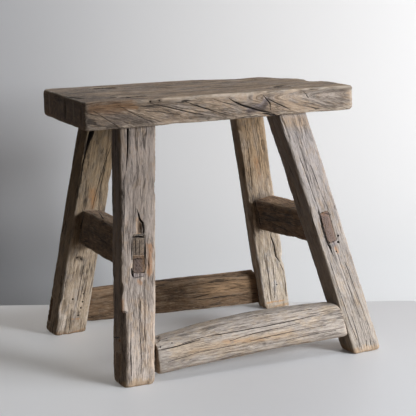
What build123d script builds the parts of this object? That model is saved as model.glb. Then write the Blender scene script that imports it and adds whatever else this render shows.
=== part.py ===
"""A rustic splay-legged stool of weathered timber, joined with through tenons and wedges.

One plank seat stands on four squared legs, which splay outwards both ways. Each leg ends in a tenon
that runs right through the seat and is spread there by a wedge. Two long stretchers near the floor join
the legs along the stool. Two short ones, set higher so that their mortises miss those of the long ones,
join them across it. Every stretcher ends in tenons that pass through its legs. Nothing moves.

The pieces are laid out round a point on the floor under the middle of the seat, with +X to the right
along the seat, +Y to the rear and +Z up. At the end they are moved together, so that the origin is the
middle of the stool's outline on the floor. Lengths are in millimetres and angles in degrees.
"""

import os
from dataclasses import dataclass
from math import cos, radians, sin, tan

from build123d import *

# The play left round every tenon and wedge, and how far a cut runs past what it cuts
fit_clearance = 0.2
overrun = 5

# The seat plank, which is thicker at its left end
seat_height = 450
seat_length = 470
seat_width = 260
seat_left_thickness = 44
seat_right_thickness = 39
seat_edge_radius = 5
sharp_corner_radius = 7
rear_left_corner_radius = 20
rear_right_corner_radius = 38

# What the four legs share, with the tenon that holds each one in the seat
leg_arris_radius = 4.5
foot_wear_radius = 3
seat_tenon_width = 42
seat_tenon_top_width = 45
seat_tenon_depth = 20
seat_tenon_sink = 0.5

# The wedge driven into each of those tenons
wedge_length = 30
wedge_thickness = 5
wedge_tip_thickness = 1.5

# The front left leg: its centre's distance in from the seat's end and side, its size and its splay
front_left_end_inset = 93
front_left_side_inset = 41
front_left_top_width = 61
front_left_top_depth = 48
front_left_foot_width = 56
front_left_foot_depth = 46
front_left_end_splay_angle = 5.6
front_left_side_splay_angle = 11.1
front_left_turn_angle = 0.3

# The front right leg
front_right_end_inset = 106
front_right_side_inset = 41.5
front_right_top_width = 54
front_right_top_depth = 50
front_right_foot_width = 56
front_right_foot_depth = 43
front_right_end_splay_angle = 13.8
front_right_side_splay_angle = 11.2
front_right_turn_angle = 7.5

# The rear right leg, which keeps the round of the log on its inner rear corner
rear_right_end_inset = 104
rear_right_side_inset = 35
rear_right_top_width = 54
rear_right_top_depth = 51
rear_right_foot_width = 51
rear_right_foot_depth = 51
rear_right_end_splay_angle = 11.3
rear_right_side_splay_angle = 9
rear_right_turn_angle = -5
rear_right_wane_radius = 16

# The rear left leg
rear_left_end_inset = 94
rear_left_side_inset = 37.5
rear_left_top_width = 59
rear_left_top_depth = 45
rear_left_foot_width = 61
rear_left_foot_depth = 52
rear_left_end_splay_angle = 8.4
rear_left_side_splay_angle = 10.8
rear_left_turn_angle = 6.8

# The front stretcher, a half-round log that swells in the middle
front_stretcher_left_height = 33.5
front_stretcher_right_height = 55.5
front_stretcher_left_size = 52
front_stretcher_middle_size = 64
front_stretcher_right_size = 55
front_stretcher_middle_rise = 8.5
front_stretcher_depth = 50
front_stretcher_outset = 0
front_stretcher_lean_angle = 5
front_stretcher_upper_radius = 20
front_stretcher_lower_radius = 13
front_stretcher_inner_radius = 15
front_stretcher_arris_radius = 4
front_tenon_height = 40
front_tenon_thickness = 24

# The rear stretcher, set towards the legs' rear faces
rear_stretcher_right_height = 36.5
rear_stretcher_left_height = 40.5
rear_stretcher_right_size = 66
rear_stretcher_left_size = 62
rear_stretcher_depth = 26
rear_stretcher_outset = 15
rear_stretcher_lean_angle = 9
rear_stretcher_radius = 8
rear_tenon_height = 46
rear_tenon_thickness = 14
rear_tenon_outset = 12

# The arrises of the two short stretchers
end_stretcher_radius = 4

# The left stretcher, and the packing driven in over its front tenon
left_stretcher_rear_height = 203
left_stretcher_front_height = 206
left_stretcher_size = 62
left_stretcher_depth = 37
left_stretcher_rear_outset = -8
left_stretcher_front_outset = -2
left_stretcher_lean_angle = 6
left_tenon_height = 60
left_tenon_thickness = 20
packing_height = 32

# The right stretcher
right_stretcher_front_height = 214
right_stretcher_rear_height = 194.5
right_stretcher_front_size = 54
right_stretcher_rear_size = 62
right_stretcher_depth = 35
right_stretcher_rear_outset = 3
right_stretcher_lean_angle = 12
right_tenon_height = 52
right_tenon_thickness = 18

LEFT, RIGHT = -1, 1
FRONT, REAR = -1, 1
UP = Vector(0, 0, 1)

# The seat's underside slopes, and the legs are set out at its middle height
shoulder_height = seat_height - (seat_left_thickness + seat_right_thickness) / 2
slope = Vector(seat_length, 0, seat_left_thickness - seat_right_thickness)
underside = Plane((0, 0, shoulder_height), x_dir=slope, z_dir=slope.cross(Vector(0, 1, 0)))


def rounded_outline(width, depth, radii):
    """A rectangle about the origin, with a radius for each corner.

    The corners' order is (-x, -y), (+x, -y), (+x, +y) and (-x, +y).
    """
    outline = Rectangle(width, depth)
    corners = ((-width, -depth), (width, -depth), (width, depth), (-width, depth))
    for (x, y), radius in zip(corners, radii):
        corner = outline.vertices().sort_by_distance(Vector(x / 2, y / 2, 0))[0]
        outline = fillet(corner, radius)
    return outline


def corners(plane, width, depth, outset=0):
    """The four corners of a rectangle on a plane, its middle set along y from the plane's origin."""
    signs = ((-1, -1), (1, -1), (1, 1), (-1, 1))
    return [plane.from_local_coords((x * width / 2, outset + y * depth / 2)) for x, y in signs]


def timber(start, finish):
    """The flat-sided solid between two four-cornered ends."""
    outlines = [start, finish]
    outlines += [(start[i - 1], start[i], finish[i], finish[i - 1]) for i in range(4)]
    return Solid(Shell([Face(Wire.make_polygon(outline)) for outline in outlines]))


@dataclass
class Leg:
    """A squared, tapered leg under one corner of the seat, splayed towards that corner both ways."""

    end: int
    side: int
    end_inset: float
    side_inset: float
    top_width: float
    top_depth: float
    foot_width: float
    foot_depth: float
    end_splay_angle: float
    side_splay_angle: float
    turn_angle: float
    wane_radius: float = 0

    def centre(self, height):
        """The point of the leg's centre line at this height above the floor."""
        drop = shoulder_height - height
        x = seat_length / 2 - self.end_inset + drop * tan(radians(self.end_splay_angle))
        y = seat_width / 2 - self.side_inset + drop * tan(radians(self.side_splay_angle))
        return Vector(self.end * x, self.side * y, height)

    def level(self, height):
        """A level plane on the centre line, turned as the leg is turned."""
        turned = Vector(cos(radians(self.turn_angle)), sin(radians(self.turn_angle)), 0)
        return Plane(self.centre(height), x_dir=turned, z_dir=UP)

    def outline(self, height):
        """The four corners of the leg at this height."""
        share = height / shoulder_height
        width = self.foot_width + share * (self.top_width - self.foot_width)
        depth = self.foot_depth + share * (self.top_depth - self.foot_depth)
        return corners(self.level(height), width, depth)

    def face(self, x, y):
        """The plane of one face, looking outwards: x is 1 or -1 and y is 0, or the other way round."""
        foot, top = self.level(0), self.level(shoulder_height)
        low = foot.from_local_coords((x * self.foot_width / 2, y * self.foot_depth / 2))
        high = top.from_local_coords((x * self.top_width / 2, y * self.top_depth / 2))
        across = foot.y_dir * x - foot.x_dir * y
        return Plane(low, x_dir=across, z_dir=across.cross(high - low))

    def body(self):
        """The leg up to the seat, with its arrises and foot worn round."""
        foot, top = self.outline(0), self.outline(seat_height)
        body = timber(foot, top)
        for low, high, wane_radius in zip(foot, top, (0, 0, 0, self.wane_radius)):
            arris = body.edges().sort_by_distance((low + high) / 2)[0]
            body = fillet(arris, max(leg_arris_radius, wane_radius))
        body = split(body, bisect_by=underside, keep=Keep.BOTTOM)
        return fillet(body.edges().group_by(Axis.Z)[0], foot_wear_radius)

    def tenon(self, low, high, play=0):
        """The seat tenon between two heights, spread towards its top, with play all round it."""
        ends = []
        for height in (low, high):
            share = (height - shoulder_height) / (seat_height - shoulder_height)
            width = seat_tenon_width + share * (seat_tenon_top_width - seat_tenon_width)
            ends.append(corners(Plane(self.centre(height)), width + 2 * play, seat_tenon_depth + 2 * play))
        return timber(*ends)

    def wedge(self, play=0):
        """The wedge in the end of the seat tenon, flush with it, with play on its faces and tip."""
        high = seat_height - seat_tenon_sink
        low = high - wedge_length - play
        tip = corners(Plane(self.centre(low)), wedge_tip_thickness + 2 * play, seat_tenon_depth)
        head = corners(Plane(self.centre(high)), wedge_thickness + 2 * play, seat_tenon_depth)
        return timber(tip, head)


@dataclass
class Stretcher:
    """A stretcher from one leg to the next, anticlockwise round the stool as it is seen from above.

    Its heading is the way it runs, in whole steps of x and y. Across it, x runs up its side and y out
    of the stool. Its tenons may stand outwards of the legs' centre lines.
    """

    start: Leg
    finish: Leg
    heading: tuple
    start_height: float
    finish_height: float
    lean_angle: float
    tenon_height: float
    tenon_thickness: float
    tenon_outset: float = 0

    def __post_init__(self):
        begin = self.start.centre(self.start_height)
        run = self.finish.centre(self.finish_height) - begin
        outwards = run.cross(UP).normalized()
        side_up = UP * cos(radians(self.lean_angle)) - outwards * sin(radians(self.lean_angle))
        self.length = run.length
        self.across = Plane(begin, x_dir=side_up, z_dir=run)

    def section(self, share, rise, outset, size, depth, radii):
        """The body's outline at a share of the length, raised and set outwards of the centre line."""
        outline = Pos(rise, outset) * rounded_outline(size, depth, radii)
        return self.across.offset(share * self.length) * outline

    def faces(self, leg):
        """The face of one of its legs that the shoulder meets, and the face where the tenon ends."""
        step = 1 if leg is self.start else -1
        x, y = (step * part for part in self.heading)
        return leg.face(x, y), leg.face(-x, -y)

    def bar(self, leg, lower_share=0, upper_share=1, play=0):
        """A bar through one leg, from one share of the tenon's height to another, with play all round."""
        height = self.tenon_height * (upper_share - lower_share)
        middle = self.tenon_height * (upper_share + lower_share - 1) / 2
        outline = Rectangle(height + 2 * play, self.tenon_thickness + 2 * play)
        plane = self.across.offset(0 if leg is self.start else self.length)
        place = plane * Pos(middle, self.tenon_outset)
        return extrude(place * outline, (leg.top_width + leg.top_depth) / 2, both=True)

    def square_shoulder(self, rise):
        """The plane square across the stretcher that meets the start leg at this height up its side."""
        near = self.faces(self.start)[0]
        point = self.across.from_local_coords((rise, 0))
        reach = (near.origin - point).dot(near.z_dir) / self.across.z_dir.dot(near.z_dir)
        return self.across.offset(reach)

    def shouldered(self, body):
        """The body, cut back to the near faces of both legs."""
        for leg in (self.start, self.finish):
            body = split(body, bisect_by=self.faces(leg)[0], keep=Keep.TOP)
        return body

    def tenoned(self, body, finish_tenon_share=1):
        """The body with a tenon at each end, flush with the far face of its leg."""
        for leg, share in ((self.start, 1), (self.finish, finish_tenon_share)):
            body += split(self.bar(leg, 0, share), bisect_by=self.faces(leg)[1], keep=Keep.BOTTOM)
        return body


def seat(legs):
    """The seat plank, with a mortise through it for the tenon of each leg."""
    radii = (sharp_corner_radius, sharp_corner_radius, rear_right_corner_radius, rear_left_corner_radius)
    outline = Pos(0, 0, seat_height) * rounded_outline(seat_length, seat_width, radii)
    plank = split(extrude(outline, -2 * seat_left_thickness), bisect_by=underside, keep=Keep.TOP)
    faces = plank.faces().sort_by(Axis.Z)
    plank = fillet(faces[0].edges() + faces[-1].edges(), seat_edge_radius)
    for leg in legs:
        plank -= leg.tenon(shoulder_height - overrun, seat_height + overrun, fit_clearance)
    return plank


def leg_piece(leg, stretchers):
    """A leg with its seat tenon, the saw cut for the wedge and a mortise for each stretcher."""
    piece = leg.body() + leg.tenon(shoulder_height - overrun, seat_height - seat_tenon_sink)
    piece -= leg.wedge(fit_clearance)
    for stretcher in stretchers:
        if leg in (stretcher.start, stretcher.finish):
            piece -= stretcher.bar(leg, play=fit_clearance)
    return piece


front_left = Leg(
    LEFT,
    FRONT,
    front_left_end_inset,
    front_left_side_inset,
    front_left_top_width,
    front_left_top_depth,
    front_left_foot_width,
    front_left_foot_depth,
    front_left_end_splay_angle,
    front_left_side_splay_angle,
    front_left_turn_angle,
)
front_right = Leg(
    RIGHT,
    FRONT,
    front_right_end_inset,
    front_right_side_inset,
    front_right_top_width,
    front_right_top_depth,
    front_right_foot_width,
    front_right_foot_depth,
    front_right_end_splay_angle,
    front_right_side_splay_angle,
    front_right_turn_angle,
)
rear_right = Leg(
    RIGHT,
    REAR,
    rear_right_end_inset,
    rear_right_side_inset,
    rear_right_top_width,
    rear_right_top_depth,
    rear_right_foot_width,
    rear_right_foot_depth,
    rear_right_end_splay_angle,
    rear_right_side_splay_angle,
    rear_right_turn_angle,
    rear_right_wane_radius,
)
rear_left = Leg(
    LEFT,
    REAR,
    rear_left_end_inset,
    rear_left_side_inset,
    rear_left_top_width,
    rear_left_top_depth,
    rear_left_foot_width,
    rear_left_foot_depth,
    rear_left_end_splay_angle,
    rear_left_side_splay_angle,
    rear_left_turn_angle,
)
legs = {
    "front_left": front_left,
    "front_right": front_right,
    "rear_right": rear_right,
    "rear_left": rear_left,
}

front = Stretcher(
    front_left,
    front_right,
    (1, 0),
    front_stretcher_left_height,
    front_stretcher_right_height,
    front_stretcher_lean_angle,
    front_tenon_height,
    front_tenon_thickness,
)
right = Stretcher(
    front_right,
    rear_right,
    (0, 1),
    right_stretcher_front_height,
    right_stretcher_rear_height,
    right_stretcher_lean_angle,
    right_tenon_height,
    right_tenon_thickness,
)
rear = Stretcher(
    rear_right,
    rear_left,
    (-1, 0),
    rear_stretcher_right_height,
    rear_stretcher_left_height,
    rear_stretcher_lean_angle,
    rear_tenon_height,
    rear_tenon_thickness,
    rear_tenon_outset,
)
left = Stretcher(
    rear_left,
    front_left,
    (0, -1),
    left_stretcher_rear_height,
    left_stretcher_front_height,
    left_stretcher_lean_angle,
    left_tenon_height,
    left_tenon_thickness,
)
stretchers = (front, right, rear, left)


def front_stretcher():
    """The half-round log, rounded most along its outer side, with its left shoulder sawn square."""
    radii = (
        front_stretcher_arris_radius,
        front_stretcher_inner_radius,
        front_stretcher_upper_radius,
        front_stretcher_lower_radius,
    )
    stations = (
        (0, 0, front_stretcher_left_size),
        (1 / 2, front_stretcher_middle_rise, front_stretcher_middle_size),
        (1, 0, front_stretcher_right_size),
    )
    log = loft(
        [
            front.section(share, rise, front_stretcher_outset, size, front_stretcher_depth, radii)
            for share, rise, size in stations
        ]
    )
    square_cut = front.square_shoulder(front_stretcher_left_size / 2)
    return front.tenoned(split(front.shouldered(log), bisect_by=square_cut, keep=Keep.TOP))


def plain_stretcher(frame, sizes, outsets, depth, radius, finish_tenon_share=1):
    """A squared stretcher, with a size and an outset for each of its ends."""
    start, finish = (
        corners(frame.across.offset(along), size, depth, outset)
        for along, size, outset in zip((0, frame.length), sizes, outsets)
    )
    body = timber(start, finish)
    arrises = body.edges().sort_by(SortBy.LENGTH)[-4:]
    return frame.tenoned(frame.shouldered(fillet(arrises, radius)), finish_tenon_share)


def packing():
    """The tapered block that fills the front left mortise above the left stretcher's tenon."""
    near, far = left.faces(front_left)
    block = left.bar(front_left, 1 - packing_height / left_tenon_height)
    block = split(block, bisect_by=far, keep=Keep.BOTTOM)
    return split(block, bisect_by=near, keep=Keep.BOTTOM)


pieces = {"seat": seat(legs.values())}
for name, leg in legs.items():
    pieces[name + "_leg"] = leg_piece(leg, stretchers)
    pieces[name + "_wedge"] = leg.wedge()
pieces["front_stretcher"] = front_stretcher()
pieces["rear_stretcher"] = plain_stretcher(
    rear,
    (rear_stretcher_right_size, rear_stretcher_left_size),
    (rear_stretcher_outset, rear_stretcher_outset),
    rear_stretcher_depth,
    rear_stretcher_radius,
)
pieces["right_stretcher"] = plain_stretcher(
    right,
    (right_stretcher_front_size, right_stretcher_rear_size),
    (0, right_stretcher_rear_outset),
    right_stretcher_depth,
    end_stretcher_radius,
)
pieces["left_stretcher"] = plain_stretcher(
    left,
    (left_stretcher_size, left_stretcher_size),
    (left_stretcher_rear_outset, left_stretcher_front_outset),
    left_stretcher_depth,
    end_stretcher_radius,
    1 - (packing_height + fit_clearance) / left_tenon_height,
)
pieces["front_left_packing"] = packing()

box = Compound(list(pieces.values())).bounding_box()
to_origin = Pos(-box.center().X, -box.center().Y, -box.min.Z)
os.makedirs("parts", exist_ok=True)
for name, piece in pieces.items():
    export_step(to_origin * piece, f"parts/{name}.step")
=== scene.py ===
"""The looks of a worn elm workers' stool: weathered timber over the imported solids, and its stage."""

import math
from dataclasses import dataclass

import bmesh
import bpy
import numpy as np
from bpy.props import FloatProperty, FloatVectorProperty, PointerProperty
from bpy.types import Operator, Panel, PropertyGroup
from mathutils import Matrix, Vector
from mathutils.bvhtree import BVHTree
from mathutils.kdtree import KDTree


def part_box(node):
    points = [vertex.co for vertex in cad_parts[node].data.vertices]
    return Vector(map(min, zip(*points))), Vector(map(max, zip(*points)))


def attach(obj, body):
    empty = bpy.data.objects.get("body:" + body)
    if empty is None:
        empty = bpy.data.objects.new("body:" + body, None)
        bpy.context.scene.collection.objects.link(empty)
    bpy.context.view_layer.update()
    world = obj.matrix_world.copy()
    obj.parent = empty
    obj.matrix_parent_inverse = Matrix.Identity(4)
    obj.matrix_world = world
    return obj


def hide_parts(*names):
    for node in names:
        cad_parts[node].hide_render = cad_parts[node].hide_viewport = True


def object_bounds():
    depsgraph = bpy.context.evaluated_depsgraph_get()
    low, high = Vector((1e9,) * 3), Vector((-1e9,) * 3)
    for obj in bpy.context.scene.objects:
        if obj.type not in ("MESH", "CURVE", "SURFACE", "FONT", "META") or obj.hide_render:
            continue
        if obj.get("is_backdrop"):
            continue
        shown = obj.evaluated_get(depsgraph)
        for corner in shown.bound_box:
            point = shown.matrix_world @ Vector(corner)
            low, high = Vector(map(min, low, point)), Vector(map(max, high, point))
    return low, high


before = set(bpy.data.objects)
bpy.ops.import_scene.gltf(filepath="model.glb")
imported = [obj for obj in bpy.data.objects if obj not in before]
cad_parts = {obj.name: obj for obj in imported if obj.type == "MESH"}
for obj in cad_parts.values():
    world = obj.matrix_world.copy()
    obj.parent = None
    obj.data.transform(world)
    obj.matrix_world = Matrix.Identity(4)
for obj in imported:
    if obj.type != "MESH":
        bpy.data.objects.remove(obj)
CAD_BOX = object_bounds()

bl_info = {
    "name": "Worn elm stool",
    "version": (1, 0, 0),
    "blender": (4, 5, 0),
    "location": "3D View > Sidebar > Stool",
    "description": "Weathers the timbers of a worn elm stool and sets it on a pale stage",
    "category": "Object",
}

MM = 0.001

# The camera's place from the floor under the middle of the seat, and the way it looks
CAMERA_PLACE = Vector((-0.797909, -2.073287, 0.668590))
CAMERA_YAW = math.radians(21.50466)
CAMERA_PITCH = math.radians(10.93890)
CAMERA_ROLL = math.radians(-1.41478)

# Its focal length and the side of its square picture, both in pixels, and its sensor's width in millimetres
CAMERA_FOCUS = 1300.0
CAMERA_FRAME = 416
SENSOR = 36.0
FAR_CLIP = 50

# Where the sight line of a mark that just misses the stool is searched for the nearest surface
SEARCH_START = 1.8
SEARCH_STEP = 0.01
SEARCH_COUNT = 80


def view_axes():
    """The camera's right, its up and the way it looks."""
    ahead = Vector((math.sin(CAMERA_YAW), math.cos(CAMERA_YAW), 0))
    right = Vector((math.cos(CAMERA_YAW), -math.sin(CAMERA_YAW), 0))
    look = ahead * math.cos(CAMERA_PITCH) - Vector((0, 0, math.sin(CAMERA_PITCH)))
    up = right.cross(look)
    rolled_right = right * math.cos(CAMERA_ROLL) + up * math.sin(CAMERA_ROLL)
    rolled_up = up * math.cos(CAMERA_ROLL) - right * math.sin(CAMERA_ROLL)
    return rolled_right, rolled_up, look


def camera_place():
    """Where the camera stands."""
    low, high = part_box("seat")
    return CAMERA_PLACE + Vector(((low.x + high.x) / 2, (low.y + high.y) / 2, 0))


class Sight:
    """Finds the place on the CAD stool that the camera sees at a point of its picture."""

    def __init__(self):
        places, faces = [], []
        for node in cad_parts.values():
            start = len(places)
            places += [v.co for v in node.data.vertices]
            faces += [[start + i for i in p.vertices] for p in node.data.polygons]
        self.tree = BVHTree.FromPolygons(places, faces)
        self.eye = camera_place()
        self.axes = view_axes()

    def place(self, across, down):
        """The place seen so many pixels across and down the picture."""
        right, up, look = self.axes
        half = CAMERA_FRAME / 2
        ray = (look * CAMERA_FOCUS + right * (across - half) - up * (down - half)).normalized()
        hit = self.tree.ray_cast(self.eye, ray)[0]
        if hit is None:
            reaches = [SEARCH_START + SEARCH_STEP * i for i in range(SEARCH_COUNT)]
            near = [self.tree.find_nearest(self.eye + ray * reach) for reach in reaches]
            hit = min(near, key=lambda found: found[3])[0]
        return hit


SIGHT = Sight()


@dataclass
class Mark:
    """A crack, hole, chip or hollow, or a black line of painted shade at a joint.

    Its half width and depth are in millimetres, dark is how black it looks, and its path is where the
    camera sees it. A crack that opens at its start is widest there, and others are widest in the middle.
    """

    width: float
    depth: float
    dark: float
    path: tuple
    opens: bool = False


@dataclass
class Stain:
    """A patch of another colour, some of them painted shade or painted shadow: its kind, its reach in
    millimetres, its strength and its path.
    """

    kind: str
    reach: float
    strength: float
    path: tuple


@dataclass
class Chip:
    """A splinter broken off beside a path, and the degrees that its face is turned from the timber's."""

    turn: float
    path: tuple


@dataclass
class Dip:
    """A place where the top is worn low: where the camera sees it, its reach and its depth in millimetres."""

    spot: tuple
    reach: float
    depth: float


@dataclass
class Tone:
    """The colours of one kind of timber, how much of it is grey or dirty, and the tint of its upper faces,
    which is painted light.
    """

    tan: tuple
    grey: tuple
    brown: tuple
    grey_share: float
    dirt: float = 0.12
    # painted light: brightens the faces that look up
    top: tuple = (1, 1, 1)


@dataclass
class Timber:
    """How one piece of the stool is sawn, coloured and marked.

    Lengths are in millimetres. Pith is how far its middle lies from the heart of the tree, across and out
    of its main face, and tilt is the angle at which the grain dives below that face. Voxel is the size of
    the faces that it is rebuilt with, and fullness is how far they stand out before they are worn. Shares
    names the timbers whose marks and chips run on over it. Contrast, wear and checks make its streaks, its
    worn arrises and its drying cracks stronger or weaker. High and low tint its upper and its lower part.
    """

    node: str
    slot: str
    pith: tuple
    facing: tuple = (0, -1, 0)
    tilt: float = 0
    voxel: float = 1.5
    tone: str = "leg"
    fine: tuple = ()
    broad: tuple = ()
    stains: tuple = ()
    chips: tuple = ()
    shares: tuple = ()
    contrast: float = 1
    wear: float = 1
    fullness: float = 0.9
    checks: float = 0.8
    # painted shade and light mixed with the wood's own greying: high darkens the upper part, in the seat's
    # shade, and low lightens the lower part
    high: tuple = (1, 1, 1)
    low: tuple = (1, 1, 1)


@dataclass
class Lamp:
    """A soft lamp: the way to it from the stool's middle, its distance, its width and its colour."""

    name: str
    way: tuple
    distance: float
    width: float
    colour: tuple
    shadow: bool = True


def hole(across, down, width=1.1, depth=4):
    """A black worm or nail hole."""
    return Mark(width, depth, 1, ((across, down),))


# The seat
SEAT_CRACKS = (
    Mark(1.0, 4, 1, ((150, 102), (163, 105.4), (180, 109.4), (196, 113.6))),
    Mark(0.7, 3, 1, ((145, 110), (160, 111.5), (180, 114.6))),
    Mark(1.1, 4, 1, ((184, 100), (198, 105.4), (213, 110.8), (225, 114.2))),
    Mark(1.8, 6, 1, ((228.6, 97.4), (234, 101), (243.5, 105.6), (258, 110.2), (272, 113))),
    Mark(1.1, 3, 1, ((267, 98.6), (278, 104), (289.8, 109.4))),
    Mark(0.6, 2, 0.8, ((180, 110), (203, 114.5))),
    Mark(1.2, 4, 1, ((262.6, 94.8), (265.6, 98.6), (269.4, 103), (270, 110))),
    Mark(0.6, 3, 0.8, ((303, 91.6), (305.6, 94), (308, 98))),
    Mark(2.4, 6, 1, ((262, 113.4), (272, 114), (283, 114.2))),
    Mark(0.7, 3, 0.7, ((93, 111), (104, 118), (117, 126))),
    Mark(0.7, 3, 0.7, ((118, 105.4), (134, 114), (152, 122))),
    Mark(0.6, 3, 0.8, ((214, 99), (224, 102), (238, 106))),
)
SEAT_HOLES = (
    hole(150, 100.6, 2.2, 3), hole(159, 99.8, 1.6, 2.5),
)
SEAT_TOP_PITS = (
    Mark(11, 5, 0.62, ((90, 89.2), (103, 88.4), (116, 88.4))),
    Mark(9, 4, 0.62, ((109, 98), (118, 97.4))),
    Mark(9, 5, 0.7, ((126, 97.8), (131, 97.4))),
    Mark(9, 4, 0.55, ((68, 97.4), (84, 98.8))),
    Mark(2, 2, 0.6, ((180, 100.4), (190, 99))),
    Mark(7, 3, 0.6, ((272, 87.4), (281, 85.6), (288, 84.8))),
    Mark(9, 3, 0.15, ((292, 90.5), (301, 91))),
    Mark(8, 2.5, 0, ((262, 94), (270, 93.5))),
)
SEAT_LOWER_CHIPS = (
    Mark(7, 3, 0.3, ((184, 119.5), (198, 118.6), (210, 117.6))),
    Mark(6, 3, 0.2, ((236, 115.4), (262, 113.6))),
    Mark(8, 3, 0.2, ((96, 129), (120, 127.4))),
    Mark(7, 3, 0.1, ((312, 110.8), (336, 108.8))),
)
SEAT_END_HOLLOWS = (
    Mark(9, 3, 0.35, ((54, 97), (62, 101))),
    Mark(11, 5, 0.3, ((65, 99), (65, 120))),
    Mark(6, 4, 0.4, ((81, 106), (81, 126))),
)
SEAT_STAINS = (
    Stain("orange", 16, 1, ((92, 108), (112, 106.6), (130, 105))),
    Stain("orange", 7, 1, ((116, 106.4), (136, 107.6))),
    Stain("orange", 8, 0.6, ((100, 112), (118, 110))),
    Stain("purple", 11, 1, ((249, 111), (254, 110), (262, 107), (265, 102))),
    Stain("soot", 9, 0.85, ((248, 112), (262, 109), (266, 103))),
    Stain("soot", 26, 0.55, ((60, 90), (80, 98), (70, 94))),
    Stain("soot", 10, 0.6, ((222, 117), (250, 115.4))),
    Stain("soot", 9, 0.8, ((150, 100.6), (160, 99.8))),
    Stain("silver", 22, 0.6, ((282, 96), (310, 94), (330, 96))),
    # painted shade: the seat's front darkened towards the left, where the light falls off, over its dark
    # brown wood
    Stain("soot", 125, 0.72, ((60, 104), (90, 116), (118, 114))),
    Stain("pale", 5, 0.9, ((49, 95), (50, 112))),
    Stain("pale", 5, 0.7, ((73, 102), (74, 121))),
    Stain("soot", 7, 1, ((63, 97), (64, 119))),
    Stain("soot", 5, 1, ((83, 106), (83, 128))),
)

# The front left leg
FRONT_LEFT_CRACKS = (
    Mark(2.0, 9, 1, ((127.6, 129.4), (127.6, 145), (127, 158), (126, 171)), opens=True),
    Mark(1.8, 7, 1, ((136.8, 209), (138, 213), (139.8, 219), (142.6, 223), (143.6, 229), (143.4, 237.4))),
    Mark(0.7, 3, 0.9, ((140, 300), (139.6, 330), (141, 352), (140.8, 374))),
    Mark(0.5, 3, 0.8, ((131, 322), (130.6, 345), (131.2, 376))),
    Mark(0.5, 2, 0.7, ((144.4, 280), (145, 315), (144, 340))),
    Mark(0.6, 2.5, 0.8, ((123.5, 180), (124, 215), (123, 250))),
)
FRONT_LEFT_JOINT_GAPS = (
    Mark(2.2, 6, 1, ((132, 237.4), (138, 236.4), (144.6, 237.4))),
    Mark(1.8, 6, 1, ((144.8, 238), (144.8, 250), (144.6, 264))),
    Mark(1.3, 4, 1, ((132, 240), (131.6, 260))),
    Mark(1.0, 4, 1, ((132.4, 259.4), (138, 258.8), (144, 259.2))),
    Mark(2.4, 6, 1, ((131.6, 268), (133.2, 277.6))),
    Mark(0.6, 3, 0.8, ((134, 278), (144.4, 276))),
)
FRONT_LEFT_CUTS = (
    Mark(1.2, 5, 1, ((113.6, 337.4), (117, 337.6), (120.6, 337.4))),
    Mark(0.9, 4, 1, ((121.4, 312), (124, 311.6), (127, 312.4))),
)
FRONT_LEFT_HOLES = (
    hole(119.5, 340.6, 1.3), hole(151, 347, 0.8, 2),
)
FRONT_LEFT_HOLLOWS = (
    Mark(8, 5, 0, ((138.5, 219), (139.5, 228), (139.5, 236))),
    Mark(5, 2.5, 0, ((155.4, 180), (155.2, 196))),
    Mark(6, 3, 0, ((121, 282), (121, 296))),
    Mark(5, 2.5, 0, ((155, 338), (155, 350))),
)
FRONT_LEFT_SPLINTER = Chip(58, ((127, 312.5), (127.4, 384)))
FRONT_LEFT_STAINS = (
    Stain("orange", 9, 0.8, ((149.5, 246), (150, 272))),
    Stain("orange", 6, 0.7, ((139, 281), (141, 283))),
    Stain("orange", 5, 0.9, ((119.5, 340.6), (119.5, 340.6))),
    Stain("orange", 6, 0.6, ((122.6, 300), (122.6, 330))),
    Stain("silver", 24, 0.8, ((141, 145), (143, 175), (139, 200))),
    Stain("silver", 16, 0.5, ((137, 310), (137, 360))),
    Stain("tan", 7, 0.8, ((138.5, 220), (139, 234))),
    Stain("soot", 5, 0.5, ((142, 228), (142.6, 237))),
    Stain("orange", 4, 1, ((114, 386), (128, 388), (144, 386), (156, 379))),
    Stain("purple", 8, 1, ((134, 275), (142, 274.6))),
    # painted shadow: the seat's overhang shading the top of the leg
    Stain("soot", 15, 0.4, ((124, 136), (150, 134))),
    # painted shade in the splinter's broken hollow, over its dark brown wood
    Stain("soot", 15, 1, ((123, 316), (122.6, 350), (123, 380))),
)

# The front right leg
FRONT_RIGHT_JOINT_GAPS = (
    Mark(2.3, 8, 1, ((318, 209.6), (320.6, 217), (322.8, 228), (326.6, 240), (330, 248), (333.6, 256))),
    Mark(0.8, 4, 0.9, ((322, 212.6), (327, 214), (331, 214.6))),
)
FRONT_RIGHT_CRACKS = (
    Mark(0.7, 2, 0.7, ((300, 158), (308, 180), (316, 202))),
    Mark(0.6, 2, 0.5, ((296, 132), (303, 156), (312, 184))),
    Mark(0.6, 2, 0.6, ((310, 165), (322, 196), (330, 214))),
    Mark(0.6, 2.5, 0.8, ((338, 254), (350, 290), (360, 318))),
    Mark(0.6, 2.5, 0.8, ((330, 262), (340, 292), (350, 322), (357, 340))),
    Mark(0.5, 2, 0.7, ((345, 262), (356, 292), (368, 325))),
    Mark(1.1, 5, 1, ((337, 304), (342, 318), (349, 338))),
    Mark(0.6, 3, 0.9, ((352, 316), (357, 333), (360, 347))),
    Mark(0.9, 4, 1, ((334, 205.6), (335.6, 208.4))),
    Mark(0.7, 3, 1, ((366, 340), (366.6, 346))),
    Mark(0.7, 3, 1, ((370, 339), (370.6, 345))),
)
FRONT_RIGHT_HOLES = (
    hole(329.8, 215.4, 1.9), hole(338.3, 235.6, 2.4), hole(338.6, 242, 2.3), hole(336.5, 251.4, 1.6),
)
FRONT_RIGHT_HOLLOWS = (
    Mark(6, 2.5, 0.1, ((327, 219), (331, 232), (334, 246))),
    Mark(6, 3, 0.2, ((284, 122), (290, 142))),
    Mark(6, 3, 0, ((334.6, 206.6), (336, 210))),
    Mark(6, 2.5, 0, ((314, 142), (318, 156))),
    Mark(7, 3, 0, ((374.5, 330), (376, 342))),
)
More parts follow.
